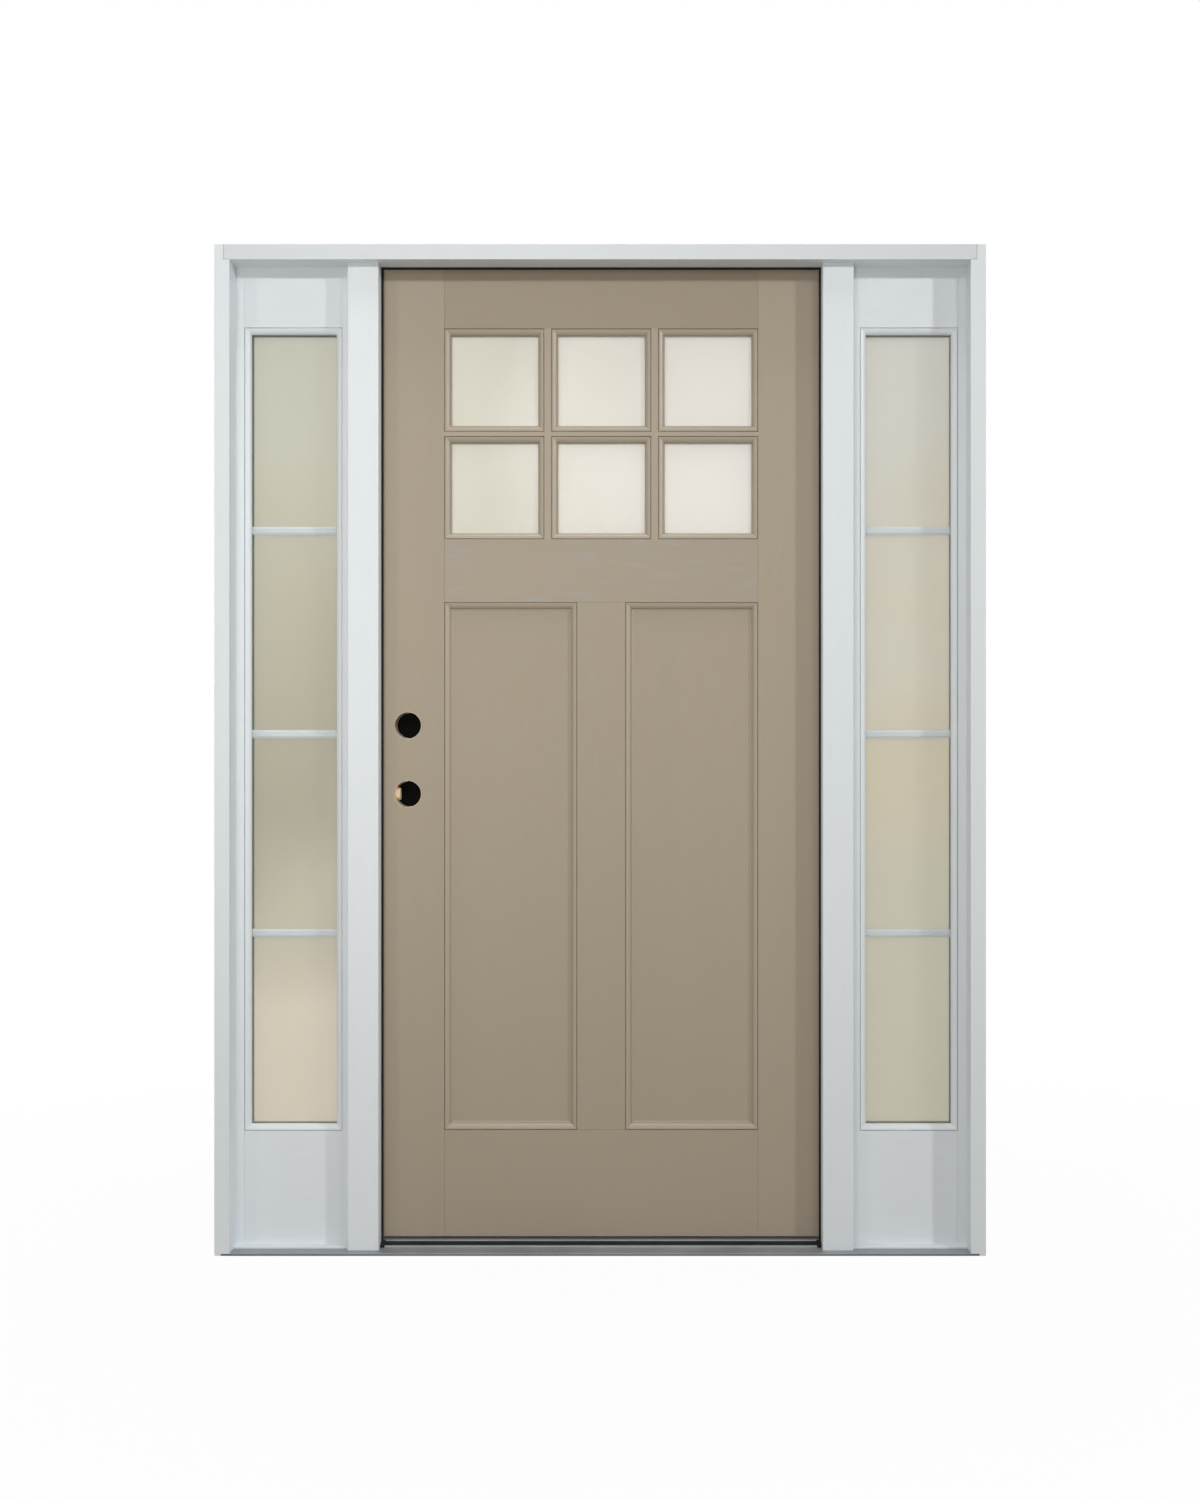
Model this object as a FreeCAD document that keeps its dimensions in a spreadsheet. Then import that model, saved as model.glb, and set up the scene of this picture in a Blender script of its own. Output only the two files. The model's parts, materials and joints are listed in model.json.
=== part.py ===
"""Entry door with two sidelights, as a unit ready to set into a wall.

A white frame of two jambs, a head and two mullion posts stands on a low metal sill. Between the posts
hangs a stile-and-rail door with six small lights over two tall flat panels. A slim glazed sidelight fills
the frame on either side of it.

Millimetres. X runs to the right as seen from outside, Y from outside to inside, Z up. The origin lies on
the underside of the sill, in the middle of the unit's width and of the frame's depth.
"""
import FreeCAD
import Part
import Sketcher
import os
import re

doc = FreeCAD.newDocument("door_with_sidelights")

# Driving sizes

SIZES = [
    ("unit_width", 1543.6, "over both jambs"),
    ("unit_height", 2023.4, "underside of the sill to the top of the head"),
    ("frame_depth", 116.0, "jambs and head, outside face to inside face"),
    ("jamb_thickness", 30.0, "jambs and head at their stops"),
    ("stop_depth", 62.4, "outside face of the frame to the back of the stops"),
    ("rabbet_depth", 12.5, "how far the stops stand in from the rabbets behind them"),
    ("doorway_width", 894.4, "between the stops of the two mullions"),
    ("mullion_width", 63.0, "outside face of a mullion"),
    ("mullion_setback", 25.0, "mullion face behind the face of the jambs"),
    ("mullion_round", 3.0, "radius on a mullion's outside edges"),
    ("fixed_gap", 0.5, "caulked joint round pieces that are set into the frame"),
    ("joint_ease", 0.6, "eased arris where a rail meets a stile"),
    ("sill_thickness", 4.2, "metal deck of the sill"),
    ("sill_housing", 17.0, "how far the deck runs into each jamb"),
    ("nose_height", 3.0, "upright front of the deck"),
    ("nose_bevel", 2.0, "slope from the nose up to the deck"),
    ("step_depth", 6.0, "metal step in front of the thermal break"),
    ("step_height", 3.5, "that step above the deck"),
    ("step_bevel", 0.8, "its eased front edge"),
    ("break_depth", 12.0, "thermal break, front to back"),
    ("break_rise", 4.8, "how far the thermal break slopes up to the threshold cap"),
    ("pad_width", 9.0, "foam pads that close the ends of the threshold"),
    ("cap_height", 15.4, "top of the threshold cap"),
    ("cap_round", 2.0, "radius along the cap's front edge"),
    ("strip_depth", 24.0, "sidelight base strip, front to back"),
    ("strip_height", 4.0, "sidelight base strip"),
    ("strip_bevel", 1.2, "eased front edge of the base strip"),
    ("leaf_gap", 5.0, "running gap round the door leaf"),
    ("leaf_thickness", 44.45, "door leaf and sidelights"),
    ("leaf_setback", 71.4, "face of the door leaf behind the face of the jambs"),
    ("lock_bevel", 2.3, "lock edge cut back towards the outside face"),
    ("stile_width", 134.7, "door stiles"),
    ("centre_stile_width", 98.0, "stile between the two panels"),
    ("top_rail_height", 129.9, "door top rail"),
    ("middle_rail_height", 128.5, "door rail between panels and lights"),
    ("bottom_rail_height", 216.6, "door bottom rail"),
    ("panel_height", 1076.0, "opening of the two panels"),
    ("upright_bar", 14.0, "flat of the upright bars between the lights"),
    ("level_bar", 9.0, "flat of the level bar between the lights"),
    ("sidelight_stile", 28.0, "sidelight stiles"),
    ("moulding_width", 13.0, "mouldings, seen from the front"),
    ("moulding_depth", 12.0, "mouldings, face to glass or panel"),
    ("quirk_width", 1.7, "groove along a moulding's outer edge"),
    ("quirk_depth", 4.5, "depth of that groove"),
    ("bead_drop", 0.5, "top of the bead below the face"),
    ("bead_radius", 13.0, "round of the bead"),
    ("sight_height", 3.2, "foot of the bead above the glass or panel"),
    ("fillet_width", 3.8, "sloped fillet between a bead and its panel"),
    ("fillet_height", 1.7, "that fillet beside the bead"),
    ("fillet_edge", 0.6, "that fillet's edge on the panel"),
    ("sheet_thickness", 4.0, "one sheet of a sidelight's sealed unit"),
    ("spacer_width", 10.0, "spacer round the edge of a sealed unit"),
    ("bar_height", 16.7, "bars inside a sidelight's sealed unit"),
    ("bar_depth", 8.0, "bars, front to back"),
    ("bar_bevel", 4.5, "slope along a bar's edges"),
    ("bar_shoulder", 2.5, "thickness of a bar's edge left by the slopes"),
    ("low_bar_level", 637.0, "middle of the lowest bar"),
    ("middle_bar_level", 1044.0, "middle of the second bar"),
    ("high_bar_level", 1460.0, "middle of the highest bar"),
    ("bore_radius", 27.0, "cross bores for the lock and the bolt"),
    ("backset", 60.3, "lock edge to the middle of the cross bores"),
    ("lock_level", 922.0, "middle of the lower bore"),
    ("bore_spacing", 139.7, "lower bore to upper bore"),
    ("latch_radius", 12.7, "bores in the lock edge"),
    ("latch_plate_width", 25.4, "recess for a latch's face plate"),
    ("latch_plate_height", 57.2, "that recess, upright"),
    ("latch_plate_depth", 3.2, "that recess, into the edge"),
    ("strike_height", 57.2, "recess for a strike in the lock-side mullion"),
    ("strike_reach", 14.0, "that recess in front of the latch's middle"),
    ("strike_depth", 1.6, "that recess, into the mullion"),
    ("keeper_depth", 16.0, "bore behind a strike"),
    ("plate_round", 6.3, "corners of the hinge plates and recesses"),
    ("seal_reach", 4.3, "weatherstrip seen past the stops"),
    ("seal_lap", 9.0, "weatherstrip behind the stops"),
    ("seal_thickness", 4.0, "weatherstrip, front to back"),
    ("seal_bevel", 1.5, "sloped lip of the weatherstrip"),
    ("hinge_height", 101.6, "butt hinges"),
    ("hinge_plate", 2.5, "thickness of a hinge's plates"),
    ("hinge_width", 35.0, "plate let into the wood"),
    ("hinge_top_margin", 178.0, "leaf top to the top hinge"),
    ("hinge_foot_margin", 279.0, "leaf bottom to the bottom hinge"),
    ("barrel_radius", 6.0, "hinge knuckles"),
    ("pin_radius", 3.0, "hinge pins"),
    ("pin_gap", 0.1, "clearance between pin and knuckles"),
    ("knuckle_gap", 0.3, "clearance between knuckles"),
    ("pin_head", 2.0, "height of the caps on a pin"),
]
KNUCKLES = 5
LIGHT_COLUMNS = 3
LIGHT_ROWS = 2

sheet = doc.addObject("Spreadsheet::Sheet", "sizes")
for row, (alias, number, note) in enumerate(SIZES, start=1):
    sheet.set(f"A{row}", note)
    sheet.set(f"B{row}", str(number))
    sheet.setAlias(f"B{row}", alias)
doc.recompute()

# Places worked out from the sizes, each a rule in plain size names

PLACES = {}


def rule(text):
    """Turn a rule in plain names into an expression on the sheet."""
    def swap(match):
        word = match.group(0)
        return f"({PLACES[word]})" if word in PLACES else f"sizes.{word}"
    return re.sub(r"[a-z][a-z_]*", swap, text)


def place(name, text):
    PLACES[name] = rule(text)


def value(text):
    """The present number of a rule."""
    return float(sheet.evalExpression(rule(text)))


place("outside", "-frame_depth / 2")
place("inside", "frame_depth / 2")
place("stop_back", "outside + stop_depth")
place("jamb_outer", "unit_width / 2")
place("jamb_inner", "jamb_outer - jamb_thickness")
place("jamb_rabbet", "jamb_inner + rabbet_depth")
place("head_soffit", "unit_height - jamb_thickness")
place("head_rabbet", "head_soffit + rabbet_depth")
place("mullion_face", "outside + mullion_setback")
place("post_door_side", "doorway_width / 2")
place("post_light_side", "post_door_side + mullion_width")
place("post_door_rabbet", "post_door_side + rabbet_depth")
place("post_light_rabbet", "post_light_side - rabbet_depth")
place("sill_end", "jamb_inner + sill_housing")
place("pad_outer", "post_door_side - fixed_gap")
place("pad_inner", "pad_outer - pad_width")
place("break_front", "stop_back - break_depth")
place("step_front", "break_front - step_depth")
place("step_top", "sill_thickness + step_height")

place("leaf_face", "outside + leaf_setback")
place("leaf_back", "leaf_face + leaf_thickness")
place("leaf_middle", "(leaf_face + leaf_back) / 2")
place("leaf_edge", "post_door_rabbet - leaf_gap")
place("leaf_foot", "cap_height + leaf_gap")
place("leaf_top", "head_rabbet - leaf_gap")
place("stile_inner", "leaf_edge - stile_width")
place("low_line", "leaf_foot + bottom_rail_height")
place("high_line", "leaf_top - top_rail_height")
place("panel_top", "low_line + panel_height")
place("lights_foot", "panel_top + middle_rail_height")
place("centre_edge", "centre_stile_width / 2")
place("bolt_level", "lock_level + bore_spacing")

place("side_face", "stop_back")
place("side_back", "side_face + leaf_thickness")
place("side_middle", "(side_face + side_back) / 2")
place("side_near", "post_light_rabbet + fixed_gap")
place("side_far", "jamb_rabbet - fixed_gap")
place("side_foot", "sill_thickness")
place("side_top", "head_rabbet - fixed_gap")
place("sight_near", "side_near + sidelight_stile")
place("sight_far", "side_far - sidelight_stile")

place("hinge_axis_x", "leaf_edge + leaf_gap / 2")
place("hinge_axis_y", "leaf_back + barrel_radius")
place("hinge_reach", "leaf_back - hinge_width")
place("low_hinge", "leaf_foot + hinge_foot_margin")
place("high_hinge", "leaf_top - hinge_top_margin - hinge_height")
place("middle_hinge", "(low_hinge + high_hinge) / 2")

HINGE_FEET = ("low_hinge", "middle_hinge", "high_hinge")
LOCK_LEVELS = ("lock_level", "bolt_level")
BAR_LEVELS = ("low_bar_level", "middle_bar_level", "high_bar_level")

# Ways of making a piece

PIECES = []


def keep(piece, label):
    """Name a finished piece, so that it is checked and written."""
    piece.Label = label
    PIECES.append(piece)


def mirrored(side, near, far):
    """A stretch of X on the right of the middle, or the same stretch on the left."""
    return (near, far) if side > 0 else (f"-({far})", f"-({near})")


def box(name, low, high):
    """A board between two corners, each three rules."""
    board = doc.addObject("Part::Box", name)
    for side, axis, start, end in zip(("Length", "Width", "Height"), "xyz", low, high):
        board.setExpression(side, rule(f"({end}) - ({start})"))
        board.setExpression(f"Placement.Base.{axis}", rule(start))
    return board


def board(name, x_pair, y_pair, z_pair):
    """A square-edged board, from its three stretches."""
    return box(name, *zip(x_pair, y_pair, z_pair))


def cylinder(name, radius, height, base, turn=None):
    """A round bar on a base point, upright unless it is turned."""
    bar = doc.addObject("Part::Cylinder", name)
    bar.setExpression("Radius", rule(radius))
    bar.setExpression("Height", rule(height))
    if turn:
        bar.Placement.Rotation = FreeCAD.Rotation(FreeCAD.Vector(*turn[0]), turn[1])
    for axis, text in zip("xyz", base):
        bar.setExpression(f"Placement.Base.{axis}", rule(text))
    return bar


def cut(name, base, tools):
    """A piece with other shapes taken out of it."""
    result = doc.addObject("Part::Cut", name)
    result.Base = base
    result.Tool = tools[0] if len(tools) == 1 else fuse(f"{name}_tools", tools)
    return result


def fuse(name, shapes):
    result = doc.addObject("Part::MultiFuse", name)
    result.Shapes = shapes
    return result


def group(name, shapes):
    """Like pieces that stand apart, kept together under one name."""
    result = doc.addObject("Part::Compound", name)
    result.Links = shapes
    return result


def outline(sketch, corners, arc_side=None, arc=None):
    """A closed outline with every corner tied to two rules, and one side an arc if asked.

    A sketch arc runs anticlockwise, so its ends swap where the outline goes the other way round.
    """
    points = [FreeCAD.Vector(value(across), value(along), 0) for across, along in corners]
    count = len(points)
    first_end = [1] * count
    for index, point in enumerate(points):
        if index == arc_side:
            sketch.addGeometry(arc, False)
            first_end[index] = 1 if arc.toShape().Curve.Axis.z > 0 else 2
        else:
            sketch.addGeometry(Part.LineSegment(point, points[(index + 1) % count]), False)
    for index in range(count):
        following = (index + 1) % count
        sketch.addConstraint(Sketcher.Constraint(
            "Coincident", index, 3 - first_end[index], following, first_end[following]))
    for index, pair in enumerate(corners):
        for kind, text in zip(("DistanceX", "DistanceY"), pair):
            number = sketch.addConstraint(Sketcher.Constraint(
                kind, -1, 1, index, first_end[index], value(text)))
            sketch.setExpression(f"Constraints[{number}]", rule(text))


def extrusion(name, plane, corners, start, length):
    """A body padded from an outline: upright from XY_Plane, or to the right from YZ_Plane."""
    body = doc.addObject("PartDesign::Body", name)
    sketch = body.newObject("Sketcher::SketchObject", f"{name}_section")
    planes = {feature.Role: feature for feature in body.Origin.OriginFeatures}
    sketch.AttachmentSupport = [(planes[plane], "")]
    sketch.MapMode = "FlatFace"
    outline(sketch, corners)
    pad = body.newObject("PartDesign::Pad", f"{name}_pad")
    pad.Profile = sketch
    pad.setExpression("Length", rule(length))
    axis = "z" if plane == "XY_Plane" else "x"
    body.setExpression(f"Placement.Base.{axis}", rule(start))
    doc.recompute()
    return body


def dress_edges(body, kind, size, chosen):
    """Round or chamfer the edges of a body that a test of their two ends chooses."""
    base = body.Tip
    names = [f"Edge{index}" for index, edge in enumerate(base.Shape.Edges, start=1)
             if chosen(edge.Vertexes[0].Point, edge.Vertexes[-1].Point)]
    feature = body.newObject(f"PartDesign::{kind}", f"{body.Name}_{kind}")
    feature.Base = (base, names)
    feature.setExpression("Radius" if kind == "Fillet" else "Size", rule(size))
    doc.recompute()
    return body


def same(first, second):
    """Whether two places agree within a hundredth of a millimetre."""
    return abs(first - second) < 0.01


def eased_outline(run, depth):
    """Outline of a board whose two ends have eased arrises, as pairs along and across the board."""
    start, end = run
    front, back = depth
    return [
        (f"{start} + joint_ease", front), (f"{end} - joint_ease", front),
        (end, f"{front} + joint_ease"), (end, f"{back} - joint_ease"),
        (f"{end} - joint_ease", back), (f"{start} + joint_ease", back),
        (start, f"{back} - joint_ease"), (start, f"{front} + joint_ease"),
    ]


def rail(name, run, depth, levels):
    """A level board that meets a stile at each end."""
    return extrusion(name, "XY_Plane", eased_outline(run, depth), levels[0], f"{levels[1]} - {levels[0]}")


# The bead is the fourth side of a moulding's outline, counted from nought
BEAD_SIDE = 3


def moulding_section(name, x_text, y_text, z_text, into, foot):
    """Section of a moulding: a groove, a rounded bead, and the foot that it ends in.

    The section stands on the lower side of its frame, across the leaf's depth and upwards. Its foot is a
    list of corners, each a height above the glass or panel and a distance from the moulding's outer edge.
    """
    sketch = doc.addObject("Sketcher::SketchObject", name)
    sketch.Placement.Rotation = FreeCAD.Rotation(FreeCAD.Vector(1, 1, 1), 120)
    for axis, text in zip("xyz", (x_text, y_text, z_text)):
        sketch.setExpression(f"Placement.Base.{axis}", rule(text))
    corners = [
        (f"{into} * moulding_depth", "0"), (f"{into} * quirk_depth", "0"),
        (f"{into} * quirk_depth", "quirk_width"), (f"{into} * bead_drop", "quirk_width"),
    ]
    corners += [(f"{into} * (moulding_depth - {height})", across) for height, across in foot]
    outline(sketch, corners, BEAD_SIDE, bead_arc(corners[BEAD_SIDE], corners[BEAD_SIDE + 1], into))
    number = sketch.addConstraint(Sketcher.Constraint("Radius", BEAD_SIDE, value("bead_radius")))
    sketch.setExpression(f"Constraints[{number}]", rule("bead_radius"))
    return sketch


def bead_arc(start_rules, end_rules, into):
    """The bead's arc, bulging out of the leaf and over the glass."""
    start, end = (FreeCAD.Vector(value(across), value(along), 0)
                  for across, along in (start_rules, end_rules))
    chord = end - start
    outward = FreeCAD.Vector(-into * abs(chord.y), abs(chord.x), 0)
    outward.normalize()
    radius = value("bead_radius")
    rise = radius - (radius ** 2 - (chord.Length / 2) ** 2) ** 0.5
    return Part.Arc(start, (start + end) * 0.5 + outward * rise, end)


GLASS_FOOT = (("sight_height", "moulding_width"), ("0", "moulding_width"))
PANEL_FOOT = (
    ("sight_height", "moulding_width"), ("fillet_height", "moulding_width"),
    ("fillet_edge", "(moulding_width + fillet_width)"), ("0", "(moulding_width + fillet_width)"),
)


def mitred_frame(name, x_pair, z_pair, face, into, section_foot=GLASS_FOOT):
    """A moulding carried round an opening with mitred corners."""
    left, right = x_pair
    foot, top = z_pair
    middle = f"(({left}) + ({right})) / 2"
    path = doc.addObject("Sketcher::SketchObject", f"{name}_path")
    path.Placement.Rotation = FreeCAD.Rotation(FreeCAD.Vector(1, 0, 0), 90)
    path.setExpression("Placement.Base.y", rule(face))
    outline(path, [(middle, foot), (right, foot), (right, top), (left, top), (left, foot)])
    sweep = doc.addObject("Part::Sweep", name)
    sweep.Sections = [moulding_section(f"{name}_section", middle, face, foot, into, section_foot)]
    sweep.Spine = (path, [f"Edge{number}" for number in range(1, 6)])
    sweep.Solid = True
    sweep.Transition = "Right corner"
    return sweep


def plate(name, start, thickness, y_pair, z_pair):
    """A thin upright plate across X, with the corners at its outer edge rounded."""
    body = extrusion(name, "YZ_Plane", [
        (y_pair[0], z_pair[0]), (y_pair[1], z_pair[0]), (y_pair[1], z_pair[1]), (y_pair[0], z_pair[1]),
    ], start, thickness)
    outer = value(y_pair[0])
    return dress_edges(body, "Fillet", "plate_round",
                       lambda one, two: same(one.y, outer) and same(two.y, outer) and not same(one.x, two.x))


# Frame

def make_jamb(label, side):
    """Rabbeted board, its stop cut away for the head and its foot notched over the sill."""
    post = extrusion(f"{label}_post", "XY_Plane", [
        (f"{side} * jamb_inner", "outside"), (f"{side} * jamb_outer", "outside"),
        (f"{side} * jamb_outer", "inside"), (f"{side} * jamb_rabbet", "inside"),
        (f"{side} * jamb_rabbet", "stop_back"), (f"{side} * jamb_inner", "stop_back"),
    ], "0", "unit_height")
    head_notch = board(f"{label}_head_notch", mirrored(side, "jamb_inner", "jamb_rabbet"),
                       ("outside", "stop_back"), ("head_soffit", "unit_height"))
    sill_notch = board(f"{label}_sill_notch", mirrored(side, "jamb_inner", "sill_end"),
                       ("outside", "inside"), ("0", "sill_thickness"))
    keep(cut(f"{label}_cut", post, [head_notch, sill_notch]), label)


def make_head():
    """Rabbeted board let into both jambs, with eased ends on its outside face."""
    head = extrusion("head", "YZ_Plane", [
        ("outside", "head_soffit"), ("stop_back", "head_soffit"), ("stop_back", "head_rabbet"),
        ("inside", "head_rabbet"), ("inside", "unit_height"), ("outside", "unit_height"),
    ], "-jamb_rabbet", "2 * jamb_rabbet")
    face = value("outside")
    dress_edges(head, "Chamfer", "joint_ease",
                lambda one, two: same(one.y, face) and same(two.y, face) and same(one.x, two.x))
    keep(head, "head_jamb")


def make_mullion(label, side, recesses):
    """Post with a stop on each side, notched under the head and let in for hinges or strikes."""
    post = extrusion(f"{label}_post", "XY_Plane", [
        (f"{side} * post_door_side", "mullion_face"), (f"{side} * post_light_side", "mullion_face"),
        (f"{side} * post_light_side", "stop_back"), (f"{side} * post_light_rabbet", "stop_back"),
        (f"{side} * post_light_rabbet", "inside"), (f"{side} * post_door_rabbet", "inside"),
        (f"{side} * post_door_rabbet", "stop_back"), (f"{side} * post_door_side", "stop_back"),
    ], "sill_thickness", "head_rabbet - sill_thickness")
    face = value("mullion_face")
    dress_edges(post, "Fillet", "mullion_round",
                lambda one, two: same(one.y, face) and same(two.y, face) and not same(one.z, two.z))
    head_notch = board(f"{label}_head_notch", mirrored(side, "post_door_side", "post_light_side"),
                       ("mullion_face", "stop_back"), ("head_soffit", "head_rabbet"))
    keep(cut(f"{label}_cut", post, [head_notch] + recesses), label)


def strike_recesses():
    """In the lock-side mullion: a shallow recess for each strike, and the bore behind it."""
    recesses = []
    for number, level in enumerate(LOCK_LEVELS, start=1):
        recesses.append(plate(f"strike_{number}", "-(post_door_rabbet + strike_depth)", "strike_depth",
                              ("leaf_middle - strike_reach", "inside"),
                              (f"{level} - strike_height / 2", f"{level} + strike_height / 2")))
        keeper_end = ("-(post_door_rabbet + keeper_depth)", "leaf_middle", level)
        recesses.append(cylinder(f"keeper_{number}", "latch_radius", "keeper_depth", keeper_end,
                                 ((0, 1, 0), 90)))
    return recesses


def make_sill():
    """Metal deck right across with a step between the posts, then a thermal break and the threshold cap."""
    deck = extrusion("deck", "YZ_Plane", [
        ("outside", "0"), ("outside", "nose_height"), ("outside + nose_bevel", "sill_thickness"),
        ("inside", "sill_thickness"), ("inside", "0"),
    ], "-sill_end", "2 * sill_end")
    step = extrusion("step", "YZ_Plane", [
        ("step_front", "sill_thickness"), ("step_front", "step_top - step_bevel"),
        ("step_front + step_bevel", "step_top"), ("break_front", "step_top"),
        ("break_front", "sill_thickness"),
    ], "-pad_inner", "2 * pad_inner")
    keep(fuse("deck_and_step", [deck, step]), "sill_deck")
    thermal_break = extrusion("thermal_break", "YZ_Plane", [
        ("break_front", "sill_thickness"), ("break_front", "step_top"),
        ("stop_back", "step_top + break_rise"), ("stop_back", "sill_thickness"),
    ], "-pad_inner", "2 * pad_inner")
    keep(thermal_break, "sill_thermal_break")
    pads = [extrusion(f"pad_{number}", "YZ_Plane", [
        ("step_front", "sill_thickness"), ("step_front", "step_top"),
        ("stop_back", "cap_height"), ("stop_back", "sill_thickness"),
    ], start, "pad_width") for number, start in enumerate(("-pad_outer", "pad_inner"), start=1)]
    keep(group("pad_pair", pads), "corner_pads")
    cap = extrusion("cap", "YZ_Plane", [
        ("stop_back", "sill_thickness"), ("stop_back", "cap_height"),
        ("inside", "cap_height"), ("inside", "sill_thickness"),
    ], "-(post_door_rabbet - fixed_gap)", "2 * (post_door_rabbet - fixed_gap)")
    front = value("stop_back")
    top = value("cap_height")
    dress_edges(cap, "Fillet", "cap_round",
                lambda one, two: all(same(end.y, front) and same(end.z, top) for end in (one, two)))
    keep(cap, "threshold_cap")


def make_weatherstrip():
    """Strips behind the stops, their lips showing past the stops' edges."""
    back = "stop_back + seal_thickness"
    slope = "stop_back + seal_thickness - seal_bevel"
    tip = "post_door_side - seal_reach"
    root = "post_door_side + seal_lap"
    for label, side in (("left_weatherstrip", -1), ("right_weatherstrip", 1)):
        strip = extrusion(f"{label}_strip", "XY_Plane", [
            (f"{side} * ({tip})", "stop_back"), (f"{side} * ({tip})", slope),
            (f"{side} * ({tip} + seal_bevel)", back), (f"{side} * ({root})", back),
            (f"{side} * ({root})", "stop_back"),
        ], "cap_height", "head_soffit - seal_reach - cap_height")
        keep(strip, label)
    strip = extrusion("head_strip", "YZ_Plane", [
        ("stop_back", "head_soffit - seal_reach"), (slope, "head_soffit - seal_reach"),
        (back, "head_soffit - seal_reach + seal_bevel"), (back, "head_soffit + seal_lap"),
        ("stop_back", "head_soffit + seal_lap"),
    ], f"-({root})", f"2 * ({root})")
    keep(strip, "head_weatherstrip")


# Sidelights

def make_sidelight(name, side):
    """Fixed glazed panel, set against the stops and held by a stop from inside.

    Its outer sheet is handed back, because the two sidelights' clear sheets are kept together.
    """
    depth = ("side_face", "side_back")
    height = ("side_foot", "side_top")
    opening = mirrored(side, "sight_near", "sight_far")
    sight = ("low_line", "high_line")
    keep(board(f"{name}_near_board", mirrored(side, "side_near", "sight_near"), depth, height),
         f"{name}_inner_stile")
    keep(board(f"{name}_far_board", mirrored(side, "sight_far", "side_far"), depth, height),
         f"{name}_outer_stile")
    keep(rail(f"{name}_low_rail", opening, depth, ("side_foot", "low_line")), f"{name}_bottom_rail")
    keep(rail(f"{name}_high_rail", opening, depth, ("high_line", "side_top")), f"{name}_top_rail")
    keep(group(f"{name}_moulding_pair", [
        mitred_frame(f"{name}_outside_moulding", opening, sight, "side_face", 1),
        mitred_frame(f"{name}_inside_moulding", opening, sight, "side_back", -1),
    ]), f"{name}_mouldings")

    outer = ("side_face + moulding_depth", "side_face + moulding_depth + sheet_thickness")
    inner = ("side_back - moulding_depth - sheet_thickness", "side_back - moulding_depth")
    keep(board(f"{name}_inner_sheet", opening, inner, sight), f"{name}_glass")
    cavity = (outer[1], inner[0])
    core = mirrored(side, "sight_near + spacer_width", "sight_far - spacer_width")
    core_height = ("low_line + spacer_width", "high_line - spacer_width")
    spacer = cut(f"{name}_spacer", board(f"{name}_spacer_block", opening, cavity, sight),
                 [board(f"{name}_spacer_core", core, cavity, core_height)])
    bars = [make_bar(f"{name}_bar_{number}", core, level)
            for number, level in enumerate(BAR_LEVELS, start=1)]
    keep(fuse(f"{name}_spacer_and_bars", [spacer] + bars), f"{name}_bars")

    left, right = mirrored(side, "post_light_side", "jamb_inner")
    strip_front = "side_face - strip_depth"
    strip_top = "sill_thickness + strip_height"
    strip = extrusion(f"{name}_strip", "YZ_Plane", [
        (strip_front, "sill_thickness"), (strip_front, f"{strip_top} - strip_bevel"),
        (f"{strip_front} + strip_bevel", strip_top), ("side_face", strip_top),
        ("side_face", "sill_thickness"),
    ], left, f"({right}) - ({left})")
    keep(strip, f"{name}_base_strip")

    behind = ("side_back", "inside")
    ring = board(f"{name}_stop_block", mirrored(side, "post_light_rabbet", "jamb_rabbet"), behind,
                 ("sill_thickness", "head_rabbet"))
    ring_core = board(f"{name}_stop_core", (left, right), behind,
                      ("sill_thickness + rabbet_depth", "head_soffit"))
    keep(cut(f"{name}_stop_ring", ring, [ring_core]), f"{name}_inside_stop")
    return board(f"{name}_outer_sheet", opening, outer, sight)


def make_bar(name, run, level):
    """Slim bar with sloped edges, held by the spacer in the middle of the sealed unit."""
    front = "side_middle - bar_depth / 2"
    back = "side_middle + bar_depth / 2"
    front_edge = "side_middle - bar_shoulder / 2"
    back_edge = "side_middle + bar_shoulder / 2"
    low = f"{level} - bar_height / 2"
    high = f"{level} + bar_height / 2"
    return extrusion(name, "YZ_Plane", [
        (front_edge, low), (front, f"{low} + bar_bevel"), (front, f"{high} - bar_bevel"),
        (front_edge, high), (back_edge, high), (back, f"{high} - bar_bevel"),
        (back, f"{low} + bar_bevel"), (back_edge, low),
    ], run[0], f"({run[1]}) - ({run[0]})")


# Door leaf

LEAF_DEPTH = ("leaf_face", "leaf_back")


def make_lock_stile():
    """Bevelled stile with two cross bores, each met by a smaller bore from a recess in the edge."""
    stile = extrusion("lock_board", "XY_Plane", [
        ("-leaf_edge + lock_bevel", "leaf_face"), ("-stile_inner", "leaf_face"),
        ("-stile_inner", "leaf_back"), ("-leaf_edge", "leaf_back"),
    ], "leaf_foot", "leaf_top - leaf_foot")
    bores = []
    for number, level in enumerate(LOCK_LEVELS, start=1):
        bores.append(cylinder(f"cross_bore_{number}", "bore_radius", "leaf_thickness",
                              ("-leaf_edge + backset", "leaf_face", level), ((1, 0, 0), -90)))
        bores.append(cylinder(f"latch_bore_{number}", "latch_radius", "backset",
                              ("-leaf_edge", "leaf_middle", level), ((0, 1, 0), 90)))
        recess = extrusion(f"latch_recess_{number}", "YZ_Plane", [
            ("leaf_middle - latch_plate_width / 2", f"{level} - latch_plate_height / 2"),
            ("leaf_middle + latch_plate_width / 2", f"{level} - latch_plate_height / 2"),
            ("leaf_middle + latch_plate_width / 2", f"{level} + latch_plate_height / 2"),
            ("leaf_middle - latch_plate_width / 2", f"{level} + latch_plate_height / 2"),
        ], "-leaf_edge", "lock_bevel / 2 + latch_plate_depth")
        bores.append(dress_edges(recess, "Fillet", "plate_round", lambda one, two: not same(one.x, two.x)))
    keep(cut("lock_stile_cut", stile, bores), "lock_stile")


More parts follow.
